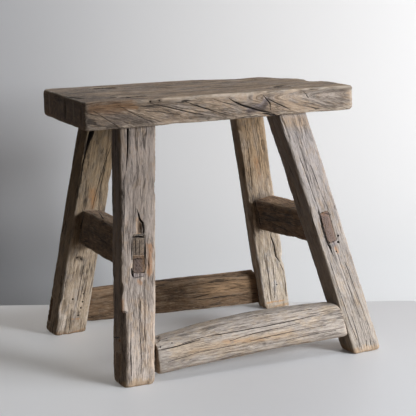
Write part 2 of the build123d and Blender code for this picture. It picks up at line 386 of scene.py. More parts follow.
FRONT_RIGHT_STAINS = (
    Stain("purple", 9, 1, ((327.5, 220), (331, 232), (334, 243))),
    Stain("soot", 3, 1, ((319, 212), (322, 222), (326, 236), (331, 248))),
    Stain("orange", 5, 0.9, ((323.4, 214), (324, 216))),
    Stain("orange", 6, 0.8, ((336, 247), (338, 252))),
    Stain("tan", 20, 0.9, ((288, 121), (304, 122))),
    Stain("silver", 20, 0.6, ((300, 145), (312, 175), (322, 200))),
    Stain("silver", 14, 0.4, ((350, 280), (362, 320))),
)

# The rear right leg
REAR_RIGHT_CRACKS_AND_JOINT_SHADE = (
    Mark(1.5, 7, 1, ((269.6, 232), (271, 238), (274, 245), (275.4, 256), (280, 262))),
    Mark(1.3, 6, 1, ((280, 264), (283.6, 271), (285, 282), (286, 296))),
    Mark(0.6, 2.5, 0.8, ((272.6, 262), (274, 280), (274.6, 298))),
    Mark(0.6, 2, 0.7, ((245, 125), (249, 155), (252, 190))),
    Mark(0.8, 3, 0.9, ((261.6, 140), (263, 150))),
    Mark(0.6, 2.5, 0.7, ((266, 255), (269, 280), (271, 300))),
    # a cut groove at the right stretcher's joint, painted black as the stretcher's contact shadow
    Mark(1.7, 5, 1, ((257, 200), (258.4, 212), (260, 224), (262.4, 232))),
)
REAR_RIGHT_HOLES = (
    hole(276.6, 284.5, 1.6),
)
REAR_RIGHT_HOLLOWS = (
    Mark(7, 3.5, 0.1, ((283.5, 252), (284.5, 263))),
    Mark(7, 3, 0.1, ((262, 140), (263.5, 152))),
    Mark(6, 3, 0, ((270, 196), (272, 206))),
)
REAR_RIGHT_STAINS = (
    Stain("orange", 3.5, 1, ((265.4, 303.2), (277, 301), (288.6, 298.8))),
    Stain("orange", 4, 0.9, ((262, 307.4), (276, 306), (287, 303.6))),
    Stain("orange", 16, 0.4, ((255, 160), (262, 200))),
    Stain("silver", 16, 0.6, ((240, 135), (248, 165))),
    # painted shadow: the right stretcher's shadow on the leg's front face
    Stain("soot", 18, 0.7, ((256, 200), (259, 230))),
    Stain("silver", 14, 0.4, ((272, 270), (276, 300))),
)

# The rear left leg
REAR_LEFT_CRACKS_AND_JOINT_SHADE = (
    Mark(2.4, 10, 1,
        ((92.4, 132), (88.5, 141), (85, 151), (82.6, 163), (81.4, 173), (81, 184)), opens=True),
    Mark(0.7, 3, 1, ((111, 145), (105, 162), (100, 178), (95, 197), (92, 209))),
    Mark(0.7, 3, 0.9, ((106.5, 160), (101, 184), (98, 209))),
    Mark(0.4, 2, 0.6, ((84, 264), (80, 284), (77, 300))),
    Mark(0.9, 4, 1, ((72, 308), (70, 322), (68.6, 334))),
    Mark(0.4, 2, 0.6, ((90, 262), (86, 285), (83, 300))),
    Mark(0.5, 2, 0.7, ((87, 180), (84, 206))),
    # a cut groove at the left stretcher's joint, painted black as shade, shared with the left stretcher
    Mark(1.8, 5, 1, ((84.6, 213), (81.4, 226), (81.6, 241))),
)
REAR_LEFT_HOLES = (
    hole(83.5, 293.9, 2), hole(72.7, 299.4, 2), hole(82.5, 301.9, 2), hole(80.6, 308, 2),
    hole(71.5, 310, 2), hole(78, 315.4, 2), hole(77.4, 258.6, 2.0, 4), hole(81, 259.4, 1.6, 3),
)
REAR_LEFT_HOLLOWS = (
    Mark(5.5, 12, 1, ((91.6, 132.4), (87.6, 143), (84.8, 153), (83, 163)), opens=True),
    Mark(6, 3, 0.2, ((76, 257), (81, 260))),
    Mark(9, 4, 0, ((64, 300), (61, 318))),
    Mark(7, 3, 0, ((110, 176), (108, 190))),
)
REAR_LEFT_STAINS = (
    Stain("soot", 8, 1, ((77, 258.6), (81, 259))),
    Stain("orange", 3.5, 0.9, ((71.5, 319), (78.5, 318.6))),
    Stain("orange", 4.5, 1, ((56, 333), (68, 334.4), (84, 329))),
    Stain("orange", 12, 0.6, ((92, 190), (94, 206))),
    Stain("soot", 12, 0.5, ((88, 140), (82, 170))),
    Stain("silver", 14, 0.5, ((76, 290), (74, 320))),
    Stain("pale", 12, 0.9, ((63, 318), (62, 331))),
)

# The long stretchers
FRONT_STRETCHER_CRACKS = (
    Mark(1.1, 5, 1, ((158, 350.4), (172.5, 347.6), (190, 342.6), (200, 339.6))),
    Mark(0.9, 4, 1, ((182.5, 343.4), (202, 337.5), (230, 332.6), (265, 326.4), (300, 319), (330, 311.6))),
    Mark(0.8, 3, 0.9, ((230, 341), (250, 334.6), (280, 327.8), (300, 323))),
    Mark(0.7, 3, 0.9, ((206, 322.6), (236, 317.6), (270, 313.8), (312, 309.6))),
    Mark(0.6, 2.5, 0.8, ((168, 362), (200, 352), (236, 345))),
    Mark(0.6, 2.5, 0.8, ((250, 341), (290, 332), (326, 325))),
    Mark(0.6, 2.5, 0.8, ((158.6, 341), (168, 337.6), (184, 331.6))),
    Mark(0.6, 2.5, 0.8, ((286, 340.4), (312, 334.6), (336, 330.4))),
)
FRONT_STRETCHER_HOLES = (
    hole(172, 343, 1.4), hole(160.2, 347, 1.6), hole(167, 339.6, 1.0),
)
FRONT_STRETCHER_HOLLOWS = (
    Mark(7, 3, 0, ((205, 338), (222, 336))),
    Mark(9, 3, 0, ((250, 346), (266, 343))),
    Mark(6, 2.5, 0.1, ((157.6, 336), (158, 342))),
)
FRONT_STRETCHER_STAINS = (
    Stain("tan", 14, 0.7, ((190, 352), (230, 343), (290, 333))),
    Stain("silver", 14, 0.6, ((190, 330), (240, 322), (300, 314))),
    Stain("orange", 7, 0.6, ((224, 342), (262, 340))),
    Stain("soot", 8, 0.5, ((340, 312), (344, 320))),
    # painted shade: the shadowed gap at the stretcher's left end
    Stain("soot", 7, 1, ((156.6, 337), (156.4, 372))),
)
REAR_STRETCHER_CRACKS = (
    Mark(1.0, 4, 1, ((155, 314.6), (176, 311), (204, 306.6))),
    Mark(0.6, 2, 0.8, ((160, 290), (200, 284), (236, 279))),
    Mark(0.6, 2, 0.8, ((196, 300), (230, 295), (252, 292))),
)
REAR_STRETCHER_STAINS = (
    Stain("soot", 8, 0.9, ((168, 281), (200, 277.6), (245, 273.6))),
    Stain("soot", 40, 0.6, ((155, 300), (172, 297))),
    Stain("tan", 30, 0.7, ((205, 291), (235, 286), (252, 283))),
    Stain("pale", 12, 0.4, ((96, 300), (106, 302))),
)

# The short stretchers
LEFT_STRETCHER_CRACKS = (
    Mark(1.1, 5, 1, ((99, 213), (103, 219), (106, 227), (111, 234))),
    Mark(0.6, 2, 0.8, ((88, 228), (98, 236), (110, 246))),
)
LEFT_STRETCHER_HOLES = (
    hole(137, 266, 0.8, 2),
)
LEFT_STRETCHER_STAINS = (
    Stain("purple", 16, 1, ((137, 262), (137, 276))),
    Stain("soot", 60, 0.5, ((88, 225), (108, 245))),
)
RIGHT_STRETCHER_CRACKS = (
    Mark(1.0, 4, 1, ((265, 219), (278, 226), (293, 233))),
    Mark(0.6, 2, 0.8, ((266, 208), (280, 213), (294, 217))),
)
RIGHT_STRETCHER_STAINS = (
    Stain("purple", 24, 1, ((326, 218), (334, 246))),
    Stain("orange", 6, 0.9, ((323, 213), (325, 214))),
    Stain("soot", 60, 0.5, ((266, 215), (290, 225))),
)

# The packing
PACKING_CRACKS = (
    Mark(0.6, 3, 1, ((135.4, 239), (135.8, 257))),
    Mark(0.5, 2, 0.8, ((139.4, 240), (139.2, 256))),
)

# The worn places of the seat's top
DIPS = (
    Dip((286, 75), 60, 7), Dip((301, 77.8), 65, 5.4), Dip((311, 79.8), 55, 4), Dip((236, 77), 120, 4.3),
    Dip((190, 99), 60, 2), Dip((150, 100), 50, 2), Dip((232, 95), 45, 1.5),
)

# The colours of the stains, the soot one also standing for painted shade and painted shadows, and of the
# marks, the pale and the broken wood
STAINS = {
    "orange": (0.42, 0.205, 0.075),
    "tan": (0.46, 0.33, 0.21),
    "pale": (0.56, 0.47, 0.38),
    "silver": (0.42, 0.37, 0.33),
    "purple": (0.2, 0.175, 0.19),
    # soot: real soot and dirt, and also painted shade and painted shadows
    "soot": (0.05, 0.034, 0.025),
}
BLACK = (0.016, 0.011, 0.008)
GRIME = (0.055, 0.036, 0.025)
PALE = (0.55, 0.47, 0.385)
BROKEN = (0.42, 0.25, 0.11)
END_TINT = (0.66, 0.58, 0.5)

TONES = {
    "seat": Tone(
        (0.33, 0.24, 0.165), (0.32, 0.272, 0.235), (0.095, 0.066, 0.047), 0.55,
        dirt=0.5, top=(1.32, 1.32, 1.32)),
    "leg": Tone((0.40, 0.32, 0.25), (0.42, 0.385, 0.36), (0.15, 0.118, 0.096), 0.8),
    "rear leg": Tone((0.40, 0.30, 0.2), (0.36, 0.30, 0.24), (0.14, 0.1, 0.07), 0.4),
    "log": Tone((0.46, 0.375, 0.29), (0.44, 0.40, 0.365), (0.15, 0.115, 0.09), 0.7),
    "rail": Tone(
        (0.26, 0.18, 0.115), (0.25, 0.2, 0.16), (0.075, 0.05, 0.034), 0.3, dirt=0.35, top=(1.7, 1.7, 1.7)),
    "end": Tone((0.23, 0.18, 0.14), (0.25, 0.225, 0.205), (0.07, 0.05, 0.038), 0.6),
}

# The timbers. Their high and low tints are partly their own greying near the floor and partly painted shade:
# darker higher up, under the seat and more so on the left, and lighter near the floor.
SEAT = Timber(
    "seat", "plank", (40, 150), facing=(0, 0, 1), tilt=15, voxel=1.95, tone="seat",
    fine=SEAT_CRACKS + SEAT_HOLES, broad=SEAT_TOP_PITS + SEAT_LOWER_CHIPS + SEAT_END_HOLLOWS,
    stains=SEAT_STAINS, contrast=1.25, wear=0.55, fullness=2.0)
FRONT_LEFT = Timber(
    "front_left_leg", "leg", (14, 95),
    fine=FRONT_LEFT_CRACKS + FRONT_LEFT_JOINT_GAPS + FRONT_LEFT_CUTS + FRONT_LEFT_HOLES,
    broad=FRONT_LEFT_HOLLOWS, stains=FRONT_LEFT_STAINS, chips=(FRONT_LEFT_SPLINTER,),
    contrast=0.6, high=(0.69, 0.65, 0.63), low=(1.38, 1.32, 1.28))
FRONT_RIGHT = Timber(
    "front_right_leg", "leg", (-70, 12),
    fine=FRONT_RIGHT_JOINT_GAPS + FRONT_RIGHT_CRACKS + FRONT_RIGHT_HOLES,
    broad=FRONT_RIGHT_HOLLOWS, stains=FRONT_RIGHT_STAINS,
    contrast=0.3, checks=0.35, high=(0.88, 0.88, 0.92), low=(1.0, 0.98, 0.95))
REAR_RIGHT = Timber(
    "rear_right_leg", "leg", (15, 110), tone="rear leg",
    fine=REAR_RIGHT_CRACKS_AND_JOINT_SHADE + REAR_RIGHT_HOLES, broad=REAR_RIGHT_HOLLOWS, stains=REAR_RIGHT_STAINS,
    contrast=0.6, checks=0.45, high=(0.9, 0.83, 0.74), low=(1.56, 1.75, 2.05))
REAR_LEFT = Timber(
    "rear_left_leg", "leg", (-20, 100), tone="rear leg",
    fine=REAR_LEFT_CRACKS_AND_JOINT_SHADE + REAR_LEFT_HOLES, broad=REAR_LEFT_HOLLOWS, stains=REAR_LEFT_STAINS,
    high=(0.6, 0.565, 0.49), low=(1.5, 1.58, 1.72))
FRONT_STRETCHER = Timber(
    "front_stretcher", "stretcher", (0, -20), tone="log",
    fine=FRONT_STRETCHER_CRACKS + FRONT_STRETCHER_HOLES, broad=FRONT_STRETCHER_HOLLOWS,
    stains=FRONT_STRETCHER_STAINS, shares=("front_left_leg",),
    contrast=0.8, checks=0.5, low=(1.13, 1.12, 1.12))
REAR_STRETCHER = Timber(
    "rear_stretcher", "stretcher", (30, 120), tone="rail",
    fine=REAR_STRETCHER_CRACKS, stains=REAR_STRETCHER_STAINS, low=(0.8, 0.72, 0.64))
LEFT_STRETCHER = Timber(
    "left_stretcher", "stretcher", (40, 90), facing=(-1, 0, 0), tone="rail",
    fine=LEFT_STRETCHER_CRACKS + LEFT_STRETCHER_HOLES, stains=LEFT_STRETCHER_STAINS,
    shares=("front_left_leg", "rear_left_leg"), high=(0.8, 0.72, 0.64), low=(0.8, 0.72, 0.64))
RIGHT_STRETCHER = Timber(
    "right_stretcher", "stretcher", (-30, 100), facing=(-1, 0, 0), tone="rail",
    fine=RIGHT_STRETCHER_CRACKS, stains=RIGHT_STRETCHER_STAINS,
    shares=("front_right_leg", "rear_right_leg"), high=(0.95, 0.85, 0.75), low=(0.95, 0.85, 0.75))
PACKING = Timber(
    "front_left_packing", "packing", (20, 60), voxel=0.8, tone="end",
    fine=PACKING_CRACKS, shares=("front_left_leg",))
WEDGES = tuple(
    Timber(f"{corner}_wedge", "wedge", (0, 40), voxel=0.8, tone="end")
    for corner in ("front_left", "front_right", "rear_right", "rear_left"))

LEGS = (FRONT_LEFT, FRONT_RIGHT, REAR_RIGHT, REAR_LEFT)
LONG_STRETCHERS = (FRONT_STRETCHER, REAR_STRETCHER)
SHORT_STRETCHERS = (LEFT_STRETCHER, RIGHT_STRETCHER)

# A timber's place in this row, counted from 1, is the seed of its grain and its wear
ALL_TIMBERS = (SEAT, *LEGS, *LONG_STRETCHERS, *SHORT_STRETCHERS, *WEDGES, PACKING)

# The rounding of the feet, which starts from the sharp edges that lie on the floor
FOOT_CORNER = 9 * MM
FOOT_RIM = 2.5 * MM
FOOT_STEPS = 3
ON_FLOOR = 1 * MM
SHARP = 0.5

# The block that cuts a splinter off, and how far it runs past the end of the splinter's path
CUTTER_WIDTH = 0.16
CUTTER_DEPTH = 0.06
CUTTER_OVERRUN = 0.05

# How far below the main face a tilted grain dives in full, and how near another piece calms the wear
DIVE_DEPTH = 0.016
JOINT_REACH = 0.006

# The patterns of the wear, and then those of the wood: how many waves a metre each has across the grain
# and along it, its detail and its roughness
PATTERNS = {
    "arris": (24.0, 12.0, 3.0, 0.55),
    "broken arris": (80.0, 42.0, 2.0, 0.5),
    "furrow": (170.0, 9.0, 3.0, 0.6),
    "furrow depth": (60.0, 4.0, 2.0, 0.5),
    "hollow": (17.0, 8.0, 2.0, 0.5),
    "pit": (70.0, 26.0, 3.0, 0.6),
    "fibre": (620.0, 60.0, 4.0, 0.72),
    "streak": (210.0, 15.0, 6.0, 0.74),
    "mottle": (95.0, 42.0, 5.0, 0.7),
    "patch": (20.0, 9.0, 6.0, 0.66),
    "grime": (46.0, 9.0, 6.0, 0.72),
    "pore": (760.0, 190.0, 3.0, 0.65),
    "wide checks": (48.0, 10.0, 3.0, 0.6),
    "narrow checks": (90.0, 20.0, 3.0, 0.6),
}

# How the grain wanders and how its fibres fray: waves a metre across and along, and how far in metres
BEND = (9.0, 5.0, 0.018)
RIPPLE = (60.0, 28.0, 0.003)
FRAY = (420.0, 90.0, 0.0016)

# The drying cracks: cells a metre across and along, and a crack's half width as a share of a cell
WIDE_CHECKS = (150.0, 5.0, 0.07)
NARROW_CHECKS = (380.0, 17.0, 0.11)

# Between which heights the feet stop wearing faster, their broken rims end and a timber's tint changes from
# its low to its high tint, which is partly its greying and partly painted shade
FOOT_WEAR_HEIGHTS = (0.002, 0.02)
RIM_HEIGHTS = (0.002, 0.022)
TINT_HEIGHTS = (0.06, 0.3)

# How far a worn point stood out where it starts to look pale, and where it is palest
PALE_FROM = (0.0003, 0.0016)

# How the marks become points: how close these are, the least half width, how many half widths deep a
# mark may be, the share of its size that is left at its ends, the depth from which it darkens the wood
# further in, how far in, and how deep it cuts there. All but the first are in millimetres or shares.
POINT_STEP = 0.4 * MM
THINNEST = 0.6
STEEPEST = 2.4
FAINTEST = 0.25
DEEP = 5
INWARD_REACHES = (2.5, 5)
INWARD_DEPTH = 0.2

# Where the only mark of an unmarked timber lies, out of reach of everything
NOWHERE = Vector((0, 0, -10))

# How near a fine mark the faces are divided, once for each reach
DIVIDED_REACHES = (3.2 * MM, 1.7 * MM)

# The wear of the wedges and of the packing, which are made of finer faces
SMALL_VOXEL = 1
SMALL_ARRIS_WEAR = 0.3
SMALL_GRAIN_DEPTH = 0.2 * MM

# The stage: how far it reaches, how far the floor ends behind the seat's middle, and its wall
STAGE_REACH = 6
FLOOR_BEHIND = 0.25326
FLOOR_SKIRT = 0.04
WALL_BELOW = 2
WALL_FACING = Vector((-0.41218, -0.91110, 0))
FLOOR_ROUGHNESS = 0.45
WALL_ROUGHNESS = 0.9

# From where to where along x the wall turns to its left colour, a painted shade darker towards the left,
# and how far out the stage turns to its own plain colour, with that colour's strength
LEFT_TURN = (-0.75, 0.35)
PLAIN_FROM = (1.05, 1.8)
PLAIN_STRENGTH = 0.9

# The lamps, and the colour of the light all round
LAMPS = (
    Lamp("Window", (0.56, -0.83, 0.27), 3.0, 0.8, (0.97, 0.985, 1.0)),
    Lamp("Sill", (0.95, -1.0, -0.06), 1.4, 0.8, (0.97, 0.985, 1.0)),
    Lamp("Ceiling", (0.5, -0.3, 0.8), 2.4, 1.0, (0.97, 0.98, 1.0)),
    Lamp("Back", (0.1, 1.0, 0.07), 2.6, 1.0, (1.0, 0.985, 0.96), shadow=False),
)
FILL_COLOUR = (1.0, 0.95, 0.9)


def eased(share):
    """A share from 0 to 1 that starts and ends gently."""
    return share * share * (3 - 2 * share)


def plain_mesh(obj, name):
    """The object's evaluated mesh, as a new plain mesh."""
    mesh = bpy.data.meshes.new_from_object(obj.evaluated_get(bpy.context.evaluated_depsgraph_get()))
    mesh.name = name
    return mesh


def linked(name, data):
    """A new object in the scene."""
    obj = bpy.data.objects.new(name, data)
    bpy.context.scene.collection.objects.link(obj)
    return obj


def sharers(timber):
    """The timbers whose marks and chips this one shares at their joint."""
    return [other for other in ALL_TIMBERS if other.node in timber.shares]


def positions(mesh):
    """The places of the mesh's points, one row each."""
    found = np.empty(len(mesh.vertices) * 3)
    mesh.vertices.foreach_get("co", found)
    return found.reshape(-1, 3)


def grain_axes(timber):
    """The piece's middle, and the ways across its main face, out of that face and along its grain."""
    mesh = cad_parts[timber.node].data
    areas = np.array([p.area for p in mesh.polygons])
    centres = np.array([p.center for p in mesh.polygons])
    middle = (centres * areas[:, None]).sum(0) / areas.sum()
    spread = (centres - middle) * np.sqrt(areas)[:, None]
    along = Vector(np.linalg.svd(spread, full_matrices=False)[2][0])
    if along.x + along.y + along.z < 0:
        along = -along
    facing = Vector(timber.facing)
    facing = (facing - along * facing.dot(along)).normalized()
    return Vector(middle), facing.cross(along), facing, along


def grain_places(timber, points):
    """Each point's place across, out of and along the grain, which may dive below the main face."""
    middle, *axes = grain_axes(timber)
    places = (points - np.array(middle)) @ np.array(axes).T
    below = ((places[:, 1].max() - places[:, 1]) / DIVE_DEPTH).clip(0, 1)
    places[:, 1] += math.tan(math.radians(timber.tilt)) * places[:, 2] * eased(below)
    return places


def chip_cutter(timber, chip):
    """A block with one face along the chip's break, to cut the splinter off with."""
    facing = grain_axes(timber)[2]
    first, last = (SIGHT.place(*spot) for spot in chip.path)
    run = (last - first).normalized()
    out = Matrix.Rotation(math.radians(chip.turn), 3, run) @ facing
    out = (out - run * out.dot(run)).normalized()
    aside = run.cross(out)
    last = last + run * CUTTER_OVERRUN
    length = (last - first).length
    middle = (first + last) / 2 + out * CUTTER_DEPTH / 2
    bm = bmesh.new()
    bmesh.ops.create_cube(bm, size=1)
    for v in bm.verts:
        sideways = aside * v.co.x * CUTTER_WIDTH
        outward = out * v.co.y * CUTTER_DEPTH
        v.co = middle + sideways + outward + run * v.co.z * length
    bmesh.ops.recalc_face_normals(bm, faces=bm.faces)
    mesh = bpy.data.meshes.new("Chip")
    bm.to_mesh(mesh)
    bm.free()
    cutter = linked("Chip", mesh)
    cutter.hide_render = True
    return cutter


def round_foot(bm):
    """Rounds the corners of a leg's foot, and then its rim."""
    foot = [v for v in bm.verts if v.co.z < ON_FLOOR]
    corners = [v for v in foot if sum(e.calc_face_angle(0) > SHARP for e in v.link_edges) > 2]
    shape = dict(segments=FOOT_STEPS, profile=0.5)
    bmesh.ops.bevel(bm, geom=corners, offset=FOOT_CORNER, affect="VERTICES", **shape)
    low = [e for e in bm.edges if max(v.co.z for v in e.verts) < ON_FLOOR]
    rim = [e for e in low if e.calc_face_angle(0) > SHARP]
    bmesh.ops.bevel(bm, geom=rim, offset=FOOT_RIM, affect="EDGES", **shape)


def solid_copy(timber):
    """A new object with the CAD node's surface, its foot rounded, rebuilt as even small faces."""
    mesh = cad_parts[timber.node].data.copy()
    bm = bmesh.new()
    bm.from_mesh(mesh)
    bmesh.ops.remove_doubles(bm, verts=bm.verts, dist=1e-6)
    if timber.slot == "leg":
        round_foot(bm)
    bm.to_mesh(mesh)
    bm.free()
    mesh.materials.clear()
    obj = linked(timber.node + "_timber", mesh)
    cutters = [chip_cutter(owner, chip) for owner in (timber, *sharers(timber)) for chip in owner.chips]
    for cutter in cutters:
        cut = obj.modifiers.new("Chip", "BOOLEAN")
        cut.object = cutter
        cut.operation = "DIFFERENCE"
        cut.solver = "EXACT"
    remesh = obj.modifiers.new("Even faces", "REMESH")
    remesh.mode = "VOXEL"
    remesh.voxel_size = timber.voxel * MM
    even = plain_mesh(obj, obj.name)
    obj.modifiers.clear()
    obj.data = even
    bpy.data.meshes.remove(mesh)
    for cutter in cutters:
        bpy.data.objects.remove(cutter)
    return obj


def store(mesh, name, values, kind="FLOAT"):
    """Keeps a value for each point of the mesh, as an attribute."""
    attribute = mesh.attributes.get(name) or mesh.attributes.new(name, kind, "POINT")
    attribute.data.foreach_set("vector" if kind == "FLOAT_VECTOR" else "value", np.ravel(values))


def path_points(mark):
    """Close points along a mark, each with its half width, its depth and how dark it is."""
    corners = [SIGHT.place(*spot) for spot in mark.path]
    if len(corners) == 1:
        return [(corners[0], mark.width, mark.depth, mark.dark)]
    points = []
    total = sum((b - a).length for a, b in zip(corners, corners[1:]))
    run = 0
    for a, b in zip(corners, corners[1:]):
        length = (b - a).length
        count = max(1, int(length / POINT_STEP))
        for i in range(count):
            share = (run + length * i / count) / total
            peak = (1 - share) if mark.opens else math.sin(math.pi * share)
            taper = max(FAINTEST, max(peak, 0) ** 0.5)
            width = max(mark.width * taper, THINNEST)
            spot = a.lerp(b, i / count)
            points.append((spot, width, min(mark.depth * taper, STEEPEST * width), mark.dark))
            if mark.depth >= DEEP and i % 3 == 0:
                inward = (spot - SIGHT.eye).normalized()
                within = [spot + inward * reach * MM for reach in INWARD_REACHES]
                points += [(place, width, INWARD_DEPTH, mark.dark) for place in within]
        run += length
    return points


def marks_of(timber):
    """The points of the timber's fine and broad marks, and of those that it shares with its neighbours."""
    shared = [mark for other in sharers(timber) for mark in other.fine]
    over_top = SEAT.broad if timber.slot in ("leg", "wedge") else ()
    fine = [point for mark in (*timber.fine, *shared) for point in path_points(mark)]
    broad = [point for mark in (*timber.broad, *over_top) for point in path_points(mark)]
    return fine, broad


def marks_object(name, points):
    """The marks as loose points, for the weathering to measure from."""
    places, widths, depths, darks = zip(*(points or [(NOWHERE, 1, 0, 0)]))
    mesh = bpy.data.meshes.new(name)
    mesh.from_pydata(worn_low(np.array(places)).tolist(), [], [])
    store(mesh, "half_width", np.array(widths) * MM)
    store(mesh, "depth", np.array(depths) * MM)
    store(mesh, "dark", np.array(darks))
    return bpy.data.objects.new(name, mesh)


def refine(mesh, points):
    """Divides the faces near the fine marks."""
    if not points:
        return
    tree = KDTree(len(points))
    for i, point in enumerate(points):
        tree.insert(point[0], i)
    tree.balance()
    bm = bmesh.new()
    bm.from_mesh(mesh)
    for reach in DIVIDED_REACHES:
        near = {v for v in bm.verts if tree.find(v.co)[2] < reach}
        edges = [e for e in bm.edges if e.verts[0] in near and e.verts[1] in near]
        bmesh.ops.subdivide_edges(bm, edges=edges, cuts=1, use_grid_fill=True)
    bmesh.ops.triangulate(bm, faces=[f for f in bm.faces if len(f.verts) > 4])
    bm.to_mesh(mesh)
    bm.free()


def worn_low(points):
    """The points with the worn places of the stool's top lowered, where the seat's underside stays."""
    low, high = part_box("seat")
    upper = eased(((points[:, 2] - low.z) / (high.z - low.z)).clip(0, 1))
    lowered = points.copy()
    for dip in DIPS:
        spot = np.array(SIGHT.place(*dip.spot))
        near = (1 - np.linalg.norm(points[:, :2] - spot[:2], axis=1) / (dip.reach * MM)).clip(0, 1)
        lowered[:, 2] -= eased(near) * upper * dip.depth * MM
    return lowered


def beside(timber, points):
    """How near each point is to another piece, from 0 to 1 where they touch."""
    low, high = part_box(timber.node)
    calm = np.zeros(len(points))
    for name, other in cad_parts.items():
        other_low, other_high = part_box(name)
        apart = any(other_low[i] > high[i] or other_high[i] < low[i] for i in range(3))
        if name == timber.node or apart:
            continue
        corners = [v.co for v in other.data.vertices]
        tree = BVHTree.FromPolygons(corners, [p.vertices for p in other.data.polygons])
        above_low = points > np.array(other_low) - JOINT_REACH
        below_high = points < np.array(other_high) + JOINT_REACH
        for i in np.flatnonzero(np.all(above_low & below_high, axis=1)):
            distance = tree.find_nearest(Vector(points[i]), JOINT_REACH)[3]
            if distance is not None:
                calm[i] = max(calm[i], 1 - distance / JOINT_REACH)
    return calm


def stained(timber, points):
    """How much of each stain reaches each point."""
    shares = {kind: np.zeros(len(points)) for kind in STAINS}
    for stain in timber.stains:
        corners = [np.array(SIGHT.place(*spot)) for spot in stain.path]
        for first, second in zip(corners, corners[1:]):
            run = second - first
            share = ((points - first) @ run / max(run @ run, 1e-12)).clip(0, 1)
            distance = np.linalg.norm(points - first - share[:, None] * run, axis=1)
            reached = stain.strength * (1 - distance / (stain.reach * MM)).clip(0, 1)
            shares[stain.kind] = np.maximum(shares[stain.kind], reached)
    return shares


def note_surface(mesh, timber):
    """Notes each point's grain, joints, end grain, upward faces for the painted light, and stains, and wears
    the top low.
    """
    points = positions(mesh)
    store(mesh, "grain", grain_places(timber, points), "FLOAT_VECTOR")
    points = worn_low(points)
    mesh.vertices.foreach_set("co", points.ravel())
    mesh.update()
    store(mesh, "calm", beside(timber, points))
    normals = np.array([v.normal for v in mesh.vertices])
    store(mesh, "end", np.abs(normals @ np.array(grain_axes(timber)[3])))
    # how much each face looks up, for the painted light on upper faces
    store(mesh, "up", normals[:, 2].clip(0, 1))
    for kind, shares in stained(timber, points).items():
        store(mesh, kind, shares)


def kept_inside(mesh):
    """Keeps the mesh inside the CAD stool's box."""
    points = positions(mesh).clip(*(np.array(corner) for corner in CAD_BOX))
    mesh.vertices.foreach_set("co", points.ravel())


class Wire:
    """One output in a node tree. Arithmetic on it adds a Math node, and gives that node's output."""

    def __init__(self, nodes, socket):
        self.nodes = nodes
        self.socket = socket

    def __add__(self, other):
        return self.nodes.maths("ADD", self, other)

    def __sub__(self, other):
        return self.nodes.maths("SUBTRACT", self, other)

    def __mul__(self, other):
        return self.nodes.maths("MULTIPLY", self, other)

    def __truediv__(self, other):
        return self.nodes.maths("DIVIDE", self, other)

    def __pow__(self, other):
        return self.nodes.maths("POWER", self, other)


class Nodes:
    """Adds nodes to a tree and links them."""

    def __init__(self, tree):
        self.tree = tree

    def node(self, kind, inputs=(), **settings):
        """A new node with its settings, and with its inputs in order or by name."""
        node = self.tree.nodes.new(kind)
        for key, value in settings.items():
            setattr(node, key, value)
        for key, value in (inputs.items() if isinstance(inputs, dict) else enumerate(inputs)):
            self.feed(node, key, value)
        return node

    def add(self, kind, inputs=(), output=0, **settings):
        """One output of a new node."""
        return Wire(self, self.node(kind, inputs, **settings).outputs[output])

    def feed(self, node, key, value):
        """Links an output to a node's input, or sets the input to a value."""
        if isinstance(value, Wire):
            self.tree.links.new(value.socket, node.inputs[key])
        else:
            node.inputs[key].default_value = value

    def maths(self, operation, *values):
        """A Math node."""
        return self.add("ShaderNodeMath", values, operation=operation)

    def vector(self, operation, *values):
        """A Vector Math node."""
        output = "Value" if operation in ("LENGTH", "DISTANCE", "DOT_PRODUCT") else "Vector"
        keys = (0, "Scale") if operation == "SCALE" else (0, 1)
        return self.add("ShaderNodeVectorMath", dict(zip(keys, values)), output, operation=operation)

    def ranged(self, value, low, high, to_low=0.0, to_high=1.0, smooth=True):
        """A value carried from one range to another, and held within it."""
        kind = "SMOOTHSTEP" if smooth else "LINEAR"
        return self.add("ShaderNodeMapRange", [value, low, high, to_low, to_high], interpolation_type=kind)

    def drawn_out(self, where, across, along):
        """A place with so many waves of a pattern a metre across the grain and along it."""
        return self.vector("MULTIPLY", where, (across, across, along))

    def grained(self, where, pattern, seed=None):
        """A pattern that is drawn out along the grain."""
        across, along, detail, rough = PATTERNS[pattern]
        inputs = {
            "Vector": self.drawn_out(where, across, along), "Scale": 1.0, "Detail": detail,
            "Roughness": rough, "Lacunarity": 2.0}
        if seed is None:
            return self.add("ShaderNodeTexNoise", inputs, noise_dimensions="3D")
        return self.add("ShaderNodeTexNoise", {**inputs, "W": seed}, noise_dimensions="4D")

    def height(self, place):
        """How high a place is."""
        return self.add("ShaderNodeSeparateXYZ", [place], "Z")

    def mix(self, share, first, second, kind="MIX"):
        """The first colour with a share of the second over it."""
        inputs = {0: share}
        for key, colour in ((6, first), (7, second)):
            inputs[key] = (*colour, 1) if isinstance(colour, tuple) else colour
        return self.add("ShaderNodeMix", inputs, 2, data_type="RGBA", blend_type=kind)

    def layered(self, colour, layers):
        """The colour with each layer over it, given as its share and its colour."""
        for share, over in layers:
            colour = self.mix(share, colour, over)
        return colour

    def tinted(self, colour, share, tint):
        """The colour, a share of which is multiplied by a tint."""
        return self.mix(share, colour, self.mix(1.0, colour, tint, "MULTIPLY"))


